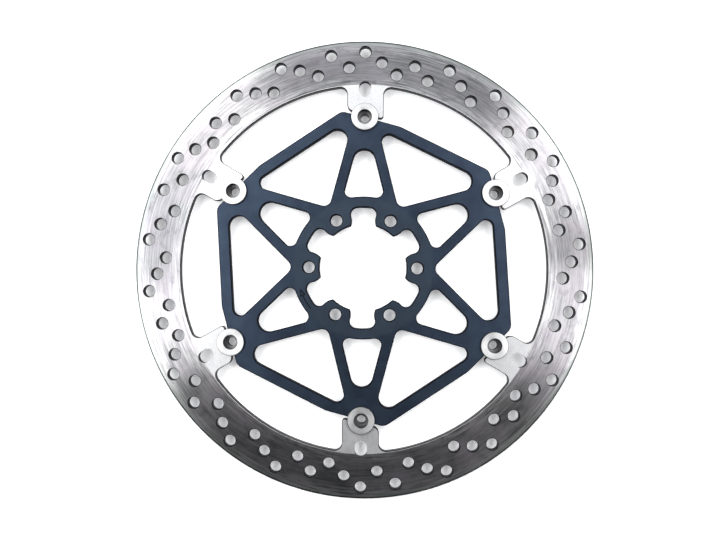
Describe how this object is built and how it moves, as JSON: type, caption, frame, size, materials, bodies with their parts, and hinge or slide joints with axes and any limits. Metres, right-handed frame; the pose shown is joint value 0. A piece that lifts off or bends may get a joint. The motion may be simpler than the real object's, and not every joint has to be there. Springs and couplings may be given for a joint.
{
  "type": "floating brake disc rotor",
  "caption": "Floating motorcycle brake disc: a drilled steel ring hung by bobbins from a dark spoked aluminium carrier that bolts to the hub.",
  "frame": {"origin": "centre of the hub bolt circle, on the carrier's mounting face", "axes": "+Z along the wheel axle, out of the visible front face; +Y towards the first bobbin; +X towards a hub bolt"},
  "size_m": [0.32, 0.32, 0.0097],
  "materials": {
    "anodised_carrier": "dark blue-grey anodised aluminium, satin",
    "brake_steel": "ground stainless steel with concentric scratches, cross-ground tabs",
    "bobbin_alloy": "turned, clear anodised aluminium",
    "washer_steel": "flat stamped stainless steel",
    "spring_steel": "hardened spring steel",
    "retainer_steel": "phosphated spring steel"
  },
  "bodies": {
    "carrier": {"carrier": "anodised_carrier"},
    "rotor_ring": {"rotor_ring": "brake_steel"},
    "bobbin_set_1": {"bobbin_1": "bobbin_alloy", "flat_washer_1": "washer_steel", "spring_washer_1": "spring_steel", "retaining_ring_1": "retainer_steel"},
    "bobbin_set_2": {"bobbin_2": "bobbin_alloy", "flat_washer_2": "washer_steel", "spring_washer_2": "spring_steel", "retaining_ring_2": "retainer_steel"},
    "bobbin_set_3": {"bobbin_3": "bobbin_alloy", "flat_washer_3": "washer_steel", "spring_washer_3": "spring_steel", "retaining_ring_3": "retainer_steel"},
    "bobbin_set_4": {"bobbin_4": "bobbin_alloy", "flat_washer_4": "washer_steel", "spring_washer_4": "spring_steel", "retaining_ring_4": "retainer_steel"},
    "bobbin_set_5": {"bobbin_5": "bobbin_alloy", "flat_washer_5": "washer_steel", "spring_washer_5": "spring_steel", "retaining_ring_5": "retainer_steel"},
    "bobbin_set_6": {"bobbin_6": "bobbin_alloy", "flat_washer_6": "washer_steel", "spring_washer_6": "spring_steel", "retaining_ring_6": "retainer_steel"}
  },
  "joints": [
    {"name": "ring_float", "type": "slide", "parent": "carrier", "child": "rotor_ring", "axis": [0, 0, 1], "range_m": [-0.0002, 0.0002]},
    {"name": "bobbin_spin_1", "type": "hinge", "parent": "carrier", "child": "bobbin_set_1", "pos_m": [0, 0.1061, 0], "axis": [0, 0, 1], "continuous": true},
    {"name": "bobbin_spin_2", "type": "hinge", "parent": "carrier", "child": "bobbin_set_2", "pos_m": [-0.09189, 0.05305, 0], "axis": [0, 0, 1], "continuous": true},
    {"name": "bobbin_spin_3", "type": "hinge", "parent": "carrier", "child": "bobbin_set_3", "pos_m": [-0.09189, -0.05305, 0], "axis": [0, 0, 1], "continuous": true},
    {"name": "bobbin_spin_4", "type": "hinge", "parent": "carrier", "child": "bobbin_set_4", "pos_m": [0, -0.1061, 0], "axis": [0, 0, 1], "continuous": true},
    {"name": "bobbin_spin_5", "type": "hinge", "parent": "carrier", "child": "bobbin_set_5", "pos_m": [0.09189, -0.05305, 0], "axis": [0, 0, 1], "continuous": true},
    {"name": "bobbin_spin_6", "type": "hinge", "parent": "carrier", "child": "bobbin_set_6", "pos_m": [0.09189, 0.05305, 0], "axis": [0, 0, 1], "continuous": true}
  ]
}
